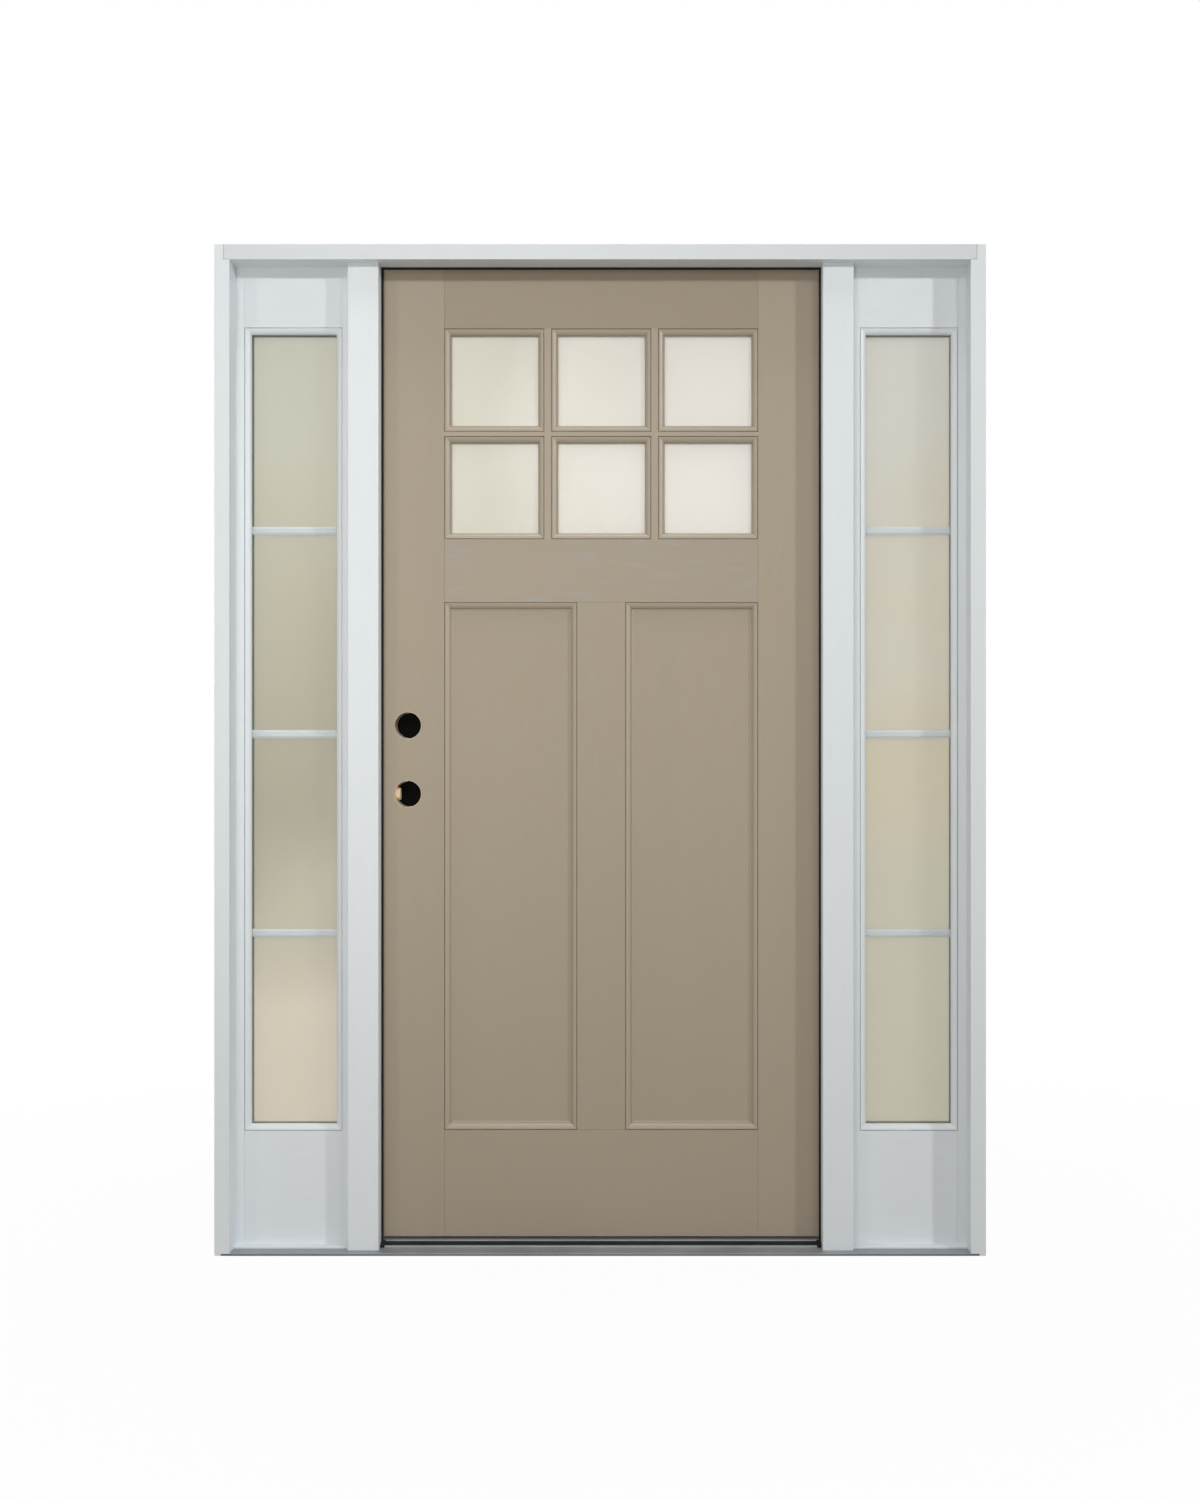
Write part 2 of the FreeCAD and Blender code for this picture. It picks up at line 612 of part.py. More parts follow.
def make_hinge_stile(recesses):
    stile = board("hinge_board", ("stile_inner", "leaf_edge"), LEAF_DEPTH, ("leaf_foot", "leaf_top"))
    keep(cut("hinge_stile_cut", stile, recesses), "hinge_stile")


def light_edges(index, count, low, high, bar):
    """Rules for the two edges of one light in a row or a column of them."""
    pitch = f"(({high}) - ({low}) + {bar}) / {count}"
    start = f"({low}) + {index} * {pitch}"
    return (start, f"({start}) + {pitch} - {bar}")


def make_rails_and_panels():
    """Rails, centre stile, and two flat panels held by mouldings on both faces."""
    between = ("-stile_inner", "stile_inner")
    panel_levels = ("low_line", "panel_top")
    keep(rail("top_rail", between, LEAF_DEPTH, ("high_line", "leaf_top")), "leaf_top_rail")
    keep(rail("middle_rail", between, LEAF_DEPTH, ("panel_top", "lights_foot")), "leaf_middle_rail")
    keep(rail("bottom_rail", between, LEAF_DEPTH, ("leaf_foot", "low_line")), "leaf_bottom_rail")
    upright = [(across, along) for along, across in eased_outline(panel_levels, LEAF_DEPTH)]
    keep(extrusion("centre_stile", "YZ_Plane", upright, "-centre_edge", "centre_stile_width"),
         "leaf_centre_stile")
    mouldings = []
    for label, x_pair in (("left_panel", ("-stile_inner", "-centre_edge")),
                          ("right_panel", ("centre_edge", "stile_inner"))):
        core = ("leaf_face + moulding_depth", "leaf_back - moulding_depth")
        keep(board(f"{label}_board", x_pair, core, panel_levels), label)
        for side, face, into in (("outside", "leaf_face", 1), ("inside", "leaf_back", -1)):
            mouldings.append(mitred_frame(f"{label}_{side}", x_pair, panel_levels, face, into, PANEL_FOOT))
    keep(group("panel_moulding_set", mouldings), "panel_mouldings")


def make_lights():
    """Grid of slim bars, and in each of its openings a pane held by mouldings on both faces."""
    across = ("-stile_inner", "stile_inner")
    levels = ("lights_foot", "high_line")
    columns = [light_edges(index, LIGHT_COLUMNS, *across, "upright_bar") for index in range(LIGHT_COLUMNS)]
    rows = [light_edges(index, LIGHT_ROWS, *levels, "level_bar") for index in range(LIGHT_ROWS)]
    bars = [board(f"upright_bar_{number}", (left[1], right[0]), LEAF_DEPTH, levels)
            for number, (left, right) in enumerate(zip(columns, columns[1:]), start=1)]
    bars += [board(f"level_bar_{number}", across, LEAF_DEPTH, (below[1], above[0]))
             for number, (below, above) in enumerate(zip(rows, rows[1:]), start=1)]
    keep(fuse("light_bars", bars), "light_grid")
    core = ("leaf_face + moulding_depth", "leaf_back - moulding_depth")
    panes = []
    mouldings = []
    for column, x_pair in enumerate(columns, start=1):
        for row, z_pair in enumerate(rows, start=1):
            panes.append(board(f"pane_{column}_{row}", x_pair, core, z_pair))
            mouldings.append(mitred_frame(f"light_{column}_{row}_outside", x_pair, z_pair, "leaf_face", 1))
            mouldings.append(mitred_frame(f"light_{column}_{row}_inside", x_pair, z_pair, "leaf_back", -1))
    keep(group("pane_set", panes), "light_panes")
    keep(group("light_moulding_set", mouldings), "light_mouldings")


# Hinges

def hinge_plates(name, start):
    """The three plates on one side of the hinge gap, which also cut their own recesses."""
    return [plate(f"{name}_{number}", start, "hinge_plate", ("hinge_reach", "hinge_axis_y"),
                  (foot, f"{foot} + hinge_height")) for number, foot in enumerate(HINGE_FEET, start=1)]


def hinge_wing(name, foot, wing_plate, knuckles):
    """One wing of a butt hinge: its plate, with every other knuckle of the barrel."""
    pitch = f"hinge_height / {KNUCKLES}"
    axis = ("hinge_axis_x", "hinge_axis_y", foot)
    barrel = cylinder(f"{name}_barrel", "barrel_radius", "hinge_height", axis)
    cuts = [cylinder(f"{name}_eye", "pin_radius + pin_gap", "hinge_height", axis)]
    for index in range(KNUCKLES):
        if index in knuckles:
            continue
        low_gap = "knuckle_gap" if index > 0 else "0"
        high_gap = "knuckle_gap" if index < KNUCKLES - 1 else "0"
        cuts.append(board(f"{name}_gap_{index}",
                          ("hinge_axis_x - barrel_radius - hinge_plate",
                           "hinge_axis_x + barrel_radius + hinge_plate"),
                          ("leaf_back", "hinge_axis_y + barrel_radius"),
                          (f"{foot} + {index} * {pitch} - {low_gap}",
                           f"{foot} + {index + 1} * {pitch} + {high_gap}")))
    return cut(f"{name}_wing", fuse(f"{name}_blank", [wing_plate, barrel]), cuts)


def make_hinges(frame_plates, leaf_plates):
    """Three butt hinges: wings on the frame, wings on the leaf, and the pins that join them."""
    frame_wings = []
    leaf_wings = []
    pins = []
    for number, foot in enumerate(HINGE_FEET, start=1):
        frame_wings.append(hinge_wing(f"frame_wing_{number}", foot, frame_plates[number - 1],
                                      range(0, KNUCKLES, 2)))
        leaf_wings.append(hinge_wing(f"leaf_wing_{number}", foot, leaf_plates[number - 1],
                                     range(1, KNUCKLES, 2)))
        shank = cylinder(f"pin_shank_{number}", "pin_radius", "hinge_height + 2 * pin_head",
                         ("hinge_axis_x", "hinge_axis_y", f"{foot} - pin_head"))
        ends = [cylinder(f"pin_{end}_{number}", "barrel_radius", "pin_head",
                         ("hinge_axis_x", "hinge_axis_y", level))
                for end, level in (("foot", f"{foot} - pin_head"), ("head", f"{foot} + hinge_height"))]
        pins.append(fuse(f"pin_{number}", [shank] + ends))
    keep(group("frame_wing_set", frame_wings), "hinge_frame_wings")
    keep(group("leaf_wing_set", leaf_wings), "hinge_leaf_wings")
    keep(group("pin_set", pins), "hinge_pins")


frame_plates = hinge_plates("frame_plate", "post_door_rabbet")
leaf_plates = hinge_plates("leaf_plate", "leaf_edge - hinge_plate")
make_jamb("left_jamb", -1)
make_jamb("right_jamb", 1)
make_head()
make_mullion("left_mullion", -1, strike_recesses())
make_mullion("right_mullion", 1, frame_plates)
make_sill()
make_weatherstrip()
outer_sheets = [make_sidelight("left_sidelight", -1), make_sidelight("right_sidelight", 1)]
keep(group("outer_sheet_pair", outer_sheets), "sidelight_outer_sheets")
make_lock_stile()
make_hinge_stile(leaf_plates)
make_rails_and_panels()
make_lights()
make_hinges(frame_plates, leaf_plates)
doc.recompute()

# Checks, then one file for each piece

faults = [item.Label for item in doc.Objects if "Invalid" in item.State or "Error" in item.State]
faults += [piece.Label for piece in PIECES if piece.Shape.isNull() or not piece.Shape.isValid()]
if faults:
    raise RuntimeError("failed pieces: " + ", ".join(faults))
os.makedirs("parts", exist_ok=True)
for piece in PIECES:
    piece.Shape.exportStep(f"parts/{piece.Label}.step")
    print(piece.Label, len(piece.Shape.Solids), round(piece.Shape.Volume))
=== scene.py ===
# %% [markdown]
# # An entry door with two sidelights, dressed in Blender
#
# The door unit comes in as a imported model with every board, pane and hinge already at its real
# size. What is left for Blender is the look: paint, glass, metal, rubber and raw wood, and a few
# small things that a door carries, such as screws. Nothing that was loaded is moved or reshaped.

# %% Load the imported door unit
import json
import math

import bpy
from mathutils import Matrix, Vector


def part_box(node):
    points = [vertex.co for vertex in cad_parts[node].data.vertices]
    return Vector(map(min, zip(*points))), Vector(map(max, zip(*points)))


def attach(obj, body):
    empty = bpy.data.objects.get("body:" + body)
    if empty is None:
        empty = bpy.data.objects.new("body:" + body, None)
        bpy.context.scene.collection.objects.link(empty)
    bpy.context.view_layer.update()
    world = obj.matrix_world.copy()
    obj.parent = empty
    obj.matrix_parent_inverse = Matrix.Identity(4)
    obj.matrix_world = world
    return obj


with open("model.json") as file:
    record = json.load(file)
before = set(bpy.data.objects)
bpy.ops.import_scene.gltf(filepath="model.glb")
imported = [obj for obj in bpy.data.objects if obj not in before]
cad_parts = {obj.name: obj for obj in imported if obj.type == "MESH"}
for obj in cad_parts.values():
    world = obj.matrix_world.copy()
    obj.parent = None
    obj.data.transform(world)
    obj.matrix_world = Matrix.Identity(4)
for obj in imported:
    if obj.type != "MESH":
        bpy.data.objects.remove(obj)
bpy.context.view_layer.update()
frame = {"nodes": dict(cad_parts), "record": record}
nodes = frame["nodes"]

# %% [markdown]
# ## Where the viewer stands
#
# A photograph of a flat front is mostly a matter of distance. The unit's left and right edges give
# the scale, and how far the jambs' inner sides show gives the distance: about 3.7 metres, slightly
# right of the middle and at half the unit's height. The camera looks straight ahead, so uprights
# stay upright, and a small shift of the sensor does the framing. Tilting the camera instead would
# make the jambs lean.

# %% Set the view and the camera
IMAGE_WIDTH = 1200
IMAGE_HEIGHT = 1500
FOCAL_LENGTH_PIXELS = 1826
# The pixel that the camera looks straight at
AXIS_PIXEL_X = 660
AXIS_PIXEL_Y = 745
SENSOR_MM = 36
CAMERA_PLACE = (0.1198, -3.71, 1.0218)
QUARTER_TURN = math.radians(90)

scene = bpy.context.scene
scene.view_settings.view_transform = "Standard"
bpy.ops.object.camera_add(location=CAMERA_PLACE, rotation=(QUARTER_TURN, 0, 0))
camera = bpy.context.object
camera.data.sensor_width = SENSOR_MM
camera.data.lens = SENSOR_MM * FOCAL_LENGTH_PIXELS / IMAGE_HEIGHT
camera.data.shift_x = (IMAGE_WIDTH / 2 - AXIS_PIXEL_X) / IMAGE_HEIGHT
camera.data.shift_y = (AXIS_PIXEL_Y - IMAGE_HEIGHT / 2) / IMAGE_HEIGHT
scene.camera = camera
print("camera with a lens of", round(camera.data.lens, 1), "mm")

# %% [markdown]
# ## Helpers for colours and node trees
#
# Every finish below is a small tree of nodes. Adding a node, setting its numbers and wiring its
# inputs takes three lines each time, so one helper does all three. An input is either a plain value
# or the output of another node. Colours are written as they would be read off a paint card, from 0
# to 255, and are turned into the linear values that a shader works with.
#
# Most patterns come from noise, which has a scale, about how many lumps go to a metre, and a
# detail, how many finer layers lie on top. Its values crowd round the middle, so most are stretched
# before use.

# %% Colours


def card(red, green, blue):
    """A colour read off a paint card, as the linear colour that a shader takes."""
    def linear(level):
        # The standard curve of screen colours, which is a straight line close to black
        share = level / 255
        return share / 12.92 if share <= 0.04045 else ((share + 0.055) / 1.055) ** 2.4
    return (linear(red), linear(green), linear(blue), 1)


def shade(colour, share):
    """The same colour, lighter or darker."""
    return tuple(channel * share for channel in colour[:3]) + (1,)


print("the middle grey of a card is", round(card(128, 128, 128)[0], 3), "to a shader")

# %% Nodes
# Places of the share, the two colours and the result among the sockets of a Mix node
MIX_SHARE = 0
MIX_FIRST = 6
MIX_SECOND = 7
MIX_RESULT = 2


def wire(tree, socket, value):
    """Give an input its value: another node's output, or a plain number or colour."""
    if isinstance(value, bpy.types.NodeSocket):
        tree.links.new(value, socket)
    else:
        socket.default_value = value


def add(tree, kind, inputs, **settings):
    """Add a node, make its settings and give its inputs their values."""
    node = tree.nodes.new(f"ShaderNode{kind}")
    for name, value in settings.items():
        setattr(node, name, value)
    for name, value in inputs.items():
        wire(tree, node.inputs[name], value)
    return node


def calculate(tree, operation, first, second=0):
    """One step of arithmetic."""
    return add(tree, "Math", {0: first, 1: second}, operation=operation).outputs[0]


def spread(tree, value, low, high, new_low=0.0, new_high=1.0):
    """Stretch the part of a value between low and high over a new range, and hold it at the ends."""
    return add(tree, "MapRange", {"Value": value, "From Min": low, "From Max": high,
                                  "To Min": new_low, "To Max": new_high}).outputs["Result"]


def mix(tree, share, first, second):
    """A colour between two colours."""
    inputs = {MIX_SHARE: share, MIX_FIRST: first, MIX_SECOND: second}
    return add(tree, "Mix", inputs, data_type="RGBA").outputs[MIX_RESULT]


def start_finish(name):
    """A new material, with its node tree and its main shader."""
    material = bpy.data.materials.new(name)
    material.use_nodes = True
    return material, material.node_tree, material.node_tree.nodes["Principled BSDF"]


print("node helpers ready")

# %% Patterns
# Nearly all of a noise lies between these values
NOISE_MIDDLE = (0.3, 0.7)


def place_on(tree, squeeze=(1, 1, 1)):
    """Places on the piece in metres, squeezed along its axes so that a pattern can run one way."""
    own = add(tree, "TexCoord", {}).outputs["Object"]
    return add(tree, "Mapping", {"Vector": own, "Scale": squeeze}).outputs["Vector"]


def noise(tree, place, scale, detail):
    """Smooth noise with values between nought and one."""
    return add(tree, "TexNoise", {"Vector": place, "Scale": scale, "Detail": detail}).outputs["Fac"]


def noise_over(tree, value, new_low=0.0, new_high=1.0):
    """Stretch the middle of a noise over a new range."""
    return spread(tree, value, *NOISE_MIDDLE, new_low, new_high)


def relief(tree, height, depth, strength, below=None):
    """Small relief of the given depth in metres, laid over another relief if there is one."""
    inputs = {"Height": height, "Distance": depth, "Strength": strength}
    if below:
        inputs["Normal"] = below
    return add(tree, "Bump", inputs).outputs["Normal"]


print("noise is stretched from", NOISE_MIDDLE)

# %% [markdown]
# ## Floor, background and light
#
# The unit stands on a plain pale floor in a white room. A white background is best made by what the
# camera sees and not by pouring on light: the world is white to the eye, to reflections and to what
# shows through glass, and a soft warm grey when it lights the boards. The floor fades to the same
# white a few steps away, so no horizon cuts through behind the door, and still takes a very faint
# shadow close to the sill.
#
# The light is a row of small square lamps high in front, as under a hall ceiling. Four of them in a
# line give each board the faint stepped shadows that the head and the posts throw on what lies
# behind them, and the one far to the right is the strongest. Shadows need filling too: a soft,
# slightly warm panel stands low in front and shines up under the head, as light off a floor does.
# It would be mirrored in the door's paint, which light off a floor isn't, so reflections leave it
# out. Another hangs nearly straight overhead, so that faces turned up, such as the lower beads of
# the mouldings, catch a bright line. A third lights the inside face from behind. None of them shows
# itself to the camera, straight or through the glass, where it would be a hot spot.

# %% Floor
FLOOR_SIZE = 60
FLOOR_DROP = 0.0004
FLOOR_GREY = card(188, 187, 185)
FLOOR_ROUGHNESS = 0.9
FLOOR_SHINE = 0.1
# Share of plain white close to the middle, and from where to where in metres it grows to one
FLOOR_GLOW_NEAR = 0.965
SHADOW_REACH = 0.4
SHADOW_FADE = 2.4
PURE_WHITE = (1, 1, 1, 1)


def seen_directly(tree):
    """One where a ray comes from the eye, a reflection or through glass, and nought for plain lighting."""
    path = add(tree, "LightPath", {})
    seen = calculate(tree, "MAXIMUM", path.outputs["Is Camera Ray"], path.outputs["Is Glossy Ray"])
    return calculate(tree, "MAXIMUM", seen, path.outputs["Is Transmission Ray"])


def floor_finish():
    """Pale grey that turns to pure white away from the door."""
    material, tree, shader = start_finish("pale_floor")
    shader.inputs["Base Color"].default_value = FLOOR_GREY
    shader.inputs["Roughness"].default_value = FLOOR_ROUGHNESS
    shader.inputs["Specular IOR Level"].default_value = FLOOR_SHINE
    away = add(tree, "VectorMath", {0: place_on(tree)}, operation="LENGTH").outputs["Value"]
    fade = spread(tree, away, SHADOW_REACH, SHADOW_FADE, FLOOR_GLOW_NEAR, 1)
    white = add(tree, "Emission", {"Color": PURE_WHITE}).outputs[0]
    both = add(tree, "MixShader", {0: calculate(tree, "MULTIPLY", fade, seen_directly(tree)),
                                   1: shader.outputs[0], 2: white})
    tree.links.new(both.outputs[0], tree.nodes["Material Output"].inputs["Surface"])
    return material


bpy.ops.object.select_all(action="DESELECT")
bpy.ops.mesh.primitive_plane_add(size=FLOOR_SIZE, location=(0, 0, -FLOOR_DROP))
floor = bpy.context.object
floor.name = "floor"
floor.data.materials.append(floor_finish())
print("floor", FLOOR_SIZE, "m wide")

# %% White room
ROOM_LIGHT = 0.32
ROOM_WARMTH = (1, 0.965, 0.91, 1)

world = bpy.data.worlds.new("white_room")
scene.world = world
world.use_nodes = True
room = world.node_tree
room_glow = room.nodes["Background"]
room_glow.inputs["Color"].default_value = ROOM_WARMTH
room_glow.inputs["Strength"].default_value = ROOM_LIGHT
white_wall = add(room, "Background", {"Color": PURE_WHITE, "Strength": 1.0})
whole_room = add(room, "MixShader", {0: seen_directly(room), 1: room_glow.outputs[0],
                                     2: white_wall.outputs[0]})
room.links.new(whole_room.outputs[0], room.nodes["World Output"].inputs["Surface"])
print("room light", ROOM_LIGHT)

# %% Row of lamps
LAMP_AHEAD = -4.0
LAMP_HEIGHT = 3.4
LAMP_SIZE = 0.3
LAMP_SPREAD = 75
# Place across in metres and power in watts
LAMPS = ((-3.4, 4.3), (-0.9, 2.8), (2.0, 3.2), (5.0, 18.5))
LIGHT_AIM = Vector((-0.3, 0, 1.15))
LIGHT_COOLNESS = (0.95, 0.985, 1)


def hang_light(place, size, power, spread_angle, aim=LIGHT_AIM, colour=LIGHT_COOLNESS):
    """A square light aimed at the door, which the camera doesn't see."""
    bpy.ops.object.light_add(type="AREA", location=place)
    light = bpy.context.object
    light.rotation_euler = (aim - Vector(place)).to_track_quat("-Z", "Y").to_euler()
    light.data.size = size
    light.data.energy = power
    light.data.spread = math.radians(spread_angle)
    light.data.color = colour
    light.visible_camera = False
    light.visible_transmission = False
    return light


for across, power in LAMPS:
    hang_light((across, LAMP_AHEAD, LAMP_HEIGHT), LAMP_SIZE, power, LAMP_SPREAD)
print(len(LAMPS), "lamps at", LAMP_HEIGHT, "m")

# %% Three soft panels
FRONT_PANEL = {"place": (-0.7, -4.4, 0.7), "size": 1.2, "power": 6.2, "spread_angle": 60,
               "aim": Vector((-0.3, 0, 1.55)), "colour": (1, 0.99, 0.965)}
BACK_PANEL = {"place": (-1.6, 4.2, 2.4), "size": 1.8, "power": 34, "spread_angle": 120}
TOP_PANEL = {"place": (-0.2, -0.65, 4.2), "size": 0.8, "power": 7.5, "spread_angle": 100}

front_panel = hang_light(**FRONT_PANEL)
front_panel.visible_glossy = False
hang_light(**BACK_PANEL)
hang_light(**TOP_PANEL)
print("soft panels low in front, behind and overhead")

# %% [markdown]
# ## Paint
#
# The frame and the door are sprayed with satin paint at the works. Paint is never one flat colour:
# it clouds slightly where the coat is thicker, wood grain shows through it as faint lines, and
# the sprayed film has a fine orange-peel texture that breaks up reflections. The primer shows through
# as short cool streaks, most of all on the door's middle rail. Each of these is a noise, and those that
# follow the wood are squeezed along its grain, so the same recipe is made three times for each
# colour: for upright boards, for level boards, and for mouldings and slim bars that run both ways.
# Those last are sanded between coats, so they are smoother and glossier.
#
# The door's top rail is painted a shade darker and warmer than its neighbours: a painted shadow of
# the head above it. The faces of the frame's head that look to the front are painted darker too, as
# painted shade. Where the head is let into the jambs, the paint has cracked along the joint, and the
# head's own coat draws that hairline from how far each point lies from the board's ends.

# %% Paint recipe
# How a pattern is squeezed along X, Y and Z: the smaller the number, the longer its lines run that way
GRAIN_WAYS = {"upright": (1, 1, 0.05), "level": (0.05, 1, 1), "plain": (1, 1, 1)}
STREAK_WAYS = {"upright": (1, 1, 0.25), "level": (0.25, 1, 1), "plain": (1, 1, 1)}
# Scale and detail of each noise
CLOUDS = (5, 4)
THIN_AREAS = (6, 2)
STREAKS = (75, 4)
FILM = (60, 2)
FIBRES = (330, 4)
PEEL = (520, 1)
# The values of a noise between which its effect grows from nothing to all
THIN_GROWTH = (0.26, 0.54)
STREAK_GROWTH = (0.4, 0.8)
PRIMER = card(158, 166, 172)
FILM_SMOOTHER = 0.05
FILM_ROUGHER = 0.06
FIBRE_DEPTH = 0.0005
PEEL_DEPTH = 0.0004


def paint_nodes(tree, shader, colour, way, cloud, roughness, shine, streaks, texture):
    """Wire a coat of paint into a shader, and return its colour for further work."""
    along = place_on(tree, GRAIN_WAYS[way])
    everywhere = place_on(tree)
    patches = noise_over(tree, noise(tree, along, *CLOUDS))
    base = mix(tree, patches, shade(colour, 1 - cloud), shade(colour, 1 + cloud))
    thin_areas = spread(tree, noise(tree, everywhere, *THIN_AREAS), *THIN_GROWTH)
    strokes = noise(tree, place_on(tree, STREAK_WAYS[way]), *STREAKS)
    short_lines = spread(tree, strokes, *STREAK_GROWTH, 0, streaks)
    coat = mix(tree, calculate(tree, "MULTIPLY", thin_areas, short_lines), base, PRIMER)
    wire(tree, shader.inputs["Base Color"], coat)
    film = noise(tree, everywhere, *FILM)
    film_roughness = noise_over(tree, film, roughness - FILM_SMOOTHER, roughness + FILM_ROUGHER)
    wire(tree, shader.inputs["Roughness"], film_roughness)
    shader.inputs["Specular IOR Level"].default_value = shine
    grain = relief(tree, noise(tree, along, *FIBRES), FIBRE_DEPTH, texture)
    peel = noise(tree, everywhere, *PEEL)
    wire(tree, shader.inputs["Normal"], relief(tree, peel, PEEL_DEPTH, texture / 2, grain))
    return coat


def paint(name, colour, way, **coat):
    """A material that is nothing but a coat of paint."""
    material, tree, shader = start_finish(name)
    paint_nodes(tree, shader, colour, way, **coat)
    return material


print("grain runs", ", ".join(GRAIN_WAYS))

# %% White and taupe paint
WHITE = card(231, 235, 238)
TAUPE = card(166, 152, 133)
# Painted shadow: the door's top rail is painted darker and warmer, for the shade that the head throws on
# it
TOP_RAIL_PAINTED_SHADOW = card(159, 144, 125)
WHITE_COAT = {"cloud": 0.012, "roughness": 0.42, "shine": 0.5, "streaks": 0.04, "texture": 0.22}
WHITE_SANDED = {"cloud": 0.0, "roughness": 0.38, "shine": 0.5, "streaks": 0.0, "texture": 0.03}
TAUPE_COAT = {"cloud": 0.022, "roughness": 0.44, "shine": 0.5, "streaks": 0.06, "texture": 0.22}
TAUPE_SANDED = {"cloud": 0.0, "roughness": 0.38, "shine": 0.75, "streaks": 0.0, "texture": 0.03}
TAUPE_STREAKED = TAUPE_COAT | {"streaks": 0.42}

white_paint = {"plain": paint("white_paint_sanded", WHITE, "plain", **WHITE_SANDED)}
taupe_paint = {"plain": paint("taupe_paint_sanded", TAUPE, "plain", **TAUPE_SANDED)}
for way in ("upright", "level"):
    white_paint[way] = paint(f"white_paint_{way}", WHITE, way, **WHITE_COAT)
    taupe_paint[way] = paint(f"taupe_paint_{way}", TAUPE, way, **TAUPE_COAT)
middle_rail_paint = paint("taupe_paint_streaked", TAUPE, "level", **TAUPE_STREAKED)
top_rail_painted_shadow = paint("taupe_paint_darker", TOP_RAIL_PAINTED_SHADOW, "level", **TAUPE_COAT)
print(len(white_paint), "coats of white,", len(taupe_paint), "of taupe, and one each for two rails")

# %% Head paint
JOINT_LINE = 0.0012
JOINT_COLOUR = card(165, 167, 167)
# Painted shade: the share by which faces of the head that look to the front are darkened
FRONT_PAINTED_SHADE = 0.11
BLACK = (0, 0, 0, 1)
# How far a face's normal points to the back, for a face that counts as front and for one that doesn't
PAINTED_SHADE_FACING = (-0.9, -0.5)


def head_finish_with_painted_shade():
    """White paint with painted shade on its front faces, and a hairline crack where the head is let into
    the jambs.
    """
    material, tree, shader = start_finish("white_paint_head")
    coat = paint_nodes(tree, shader, WHITE, "level", **WHITE_COAT)
    normal = add(tree, "NewGeometry", {}).outputs["Normal"]
    backward = add(tree, "SeparateXYZ", {"Vector": normal}).outputs["Y"]
    # Painted shade: faces that look to the front are mixed towards black
    colour = mix(tree, spread(tree, backward, *PAINTED_SHADE_FACING, FRONT_PAINTED_SHADE, 0), coat, BLACK)
    place = add(tree, "SeparateXYZ", {"Vector": place_on(tree)}).outputs
    head_low, head_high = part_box("head_jamb")
    aside = calculate(tree, "ABSOLUTE", place["X"])
    at_end = calculate(tree, "GREATER_THAN", aside, head_high.x - JOINT_LINE)
    let_in = calculate(tree, "GREATER_THAN", aside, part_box("right_jamb")[0].x)
    at_soffit = calculate(tree, "LESS_THAN", place["Z"], head_low.z + JOINT_LINE)
    crack = calculate(tree, "MAXIMUM", at_end, calculate(tree, "MULTIPLY", let_in, at_soffit))
    wire(tree, shader.inputs["Base Color"], mix(tree, crack, colour, JOINT_COLOUR))
    return material


head_paint_and_shade = head_finish_with_painted_shade()
print("hairline joints", JOINT_LINE * 1000, "mm wide")

# %% [markdown]
# ## The bored stile
#
# The lock stile is drilled for a lock and a bolt after it has been painted, so the walls of the
# bores are raw wood. A pale ring round each bore is a painted highlight, for light caught on its rim.
# A second material on the wall faces would need the loaded mesh to be edited. Measuring how far each
# point lies from a bore's axis, inside the material, does the same and leaves the mesh alone.

# %% Raw wood recipe
RAW_WOOD = card(222, 200, 170)
RAW_WOOD_DARK = card(192, 162, 128)
WOOD_FIBRES = (300, 6)
DARK_FIBRE_GROWTH = (0.35, 0.7)


def raw_wood_colour(tree, way, light, dark):
    """Fine fibres of light and darker wood that run one way, and the pattern behind them."""
    fibres = noise(tree, place_on(tree, GRAIN_WAYS[way]), *WOOD_FIBRES)
    return mix(tree, spread(tree, fibres, *DARK_FIBRE_GROWTH), light, dark), fibres


print("raw wood ready")

# %% Bored stile finish
BORE_WALL = 0.0002
PAINTED_HIGHLIGHT_WIDTH = 0.0005
# Colour of the painted highlight ring round each bore
RING_HIGHLIGHT_COLOUR = card(206, 196, 178)
ACROSS_BORE = (1, 0, 1)


def bore_radius(mount):
    """Radius of a bore in metres."""
    return mount["dims"]["r_mm"] / 1000


def away_from_bore(tree, mount):
    """Distance of a point from the axis of a bore, which runs along Y, in metres."""
    x, _, z = mount["pos_m"]
    own = add(tree, "TexCoord", {}).outputs["Object"]
    offset = add(tree, "VectorMath", {0: own, 1: (x, 0, z)}, operation="SUBTRACT").outputs[0]
    flat = add(tree, "VectorMath", {0: offset, 1: ACROSS_BORE}, operation="MULTIPLY").outputs[0]
    return add(tree, "VectorMath", {0: flat}, operation="LENGTH").outputs["Value"]


def bored_paint(bores):
    """Taupe paint that gives way to raw wood inside the bores, with a painted highlight ring round each
    bore.
    """
    material, tree, shader = start_finish("taupe_paint_bored")
    colour = paint_nodes(tree, shader, TAUPE, "upright", **TAUPE_COAT)
    wood, _ = raw_wood_colour(tree, "upright", RAW_WOOD, RAW_WOOD_DARK)
    for mount in bores:
        radius = bore_radius(mount)
        away = away_from_bore(tree, mount)
        # Painted highlight: a pale ring just outside the wall of each bore
        edge = spread(tree, away, radius + PAINTED_HIGHLIGHT_WIDTH, radius + 2 * PAINTED_HIGHLIGHT_WIDTH)
        colour = mix(tree, edge, RING_HIGHLIGHT_COLOUR, colour)
        colour = mix(tree, calculate(tree, "LESS_THAN", away, radius + BORE_WALL), colour, wood)
    wire(tree, shader.inputs["Base Color"], colour)
    return material


lock_bores = [mount for mount in frame["record"]["mounts"] if mount["kind"] == "bore"]
lock_stile_paint = bored_paint(lock_bores)
print("paint gives way to wood in", [mount["name"] for mount in lock_bores])

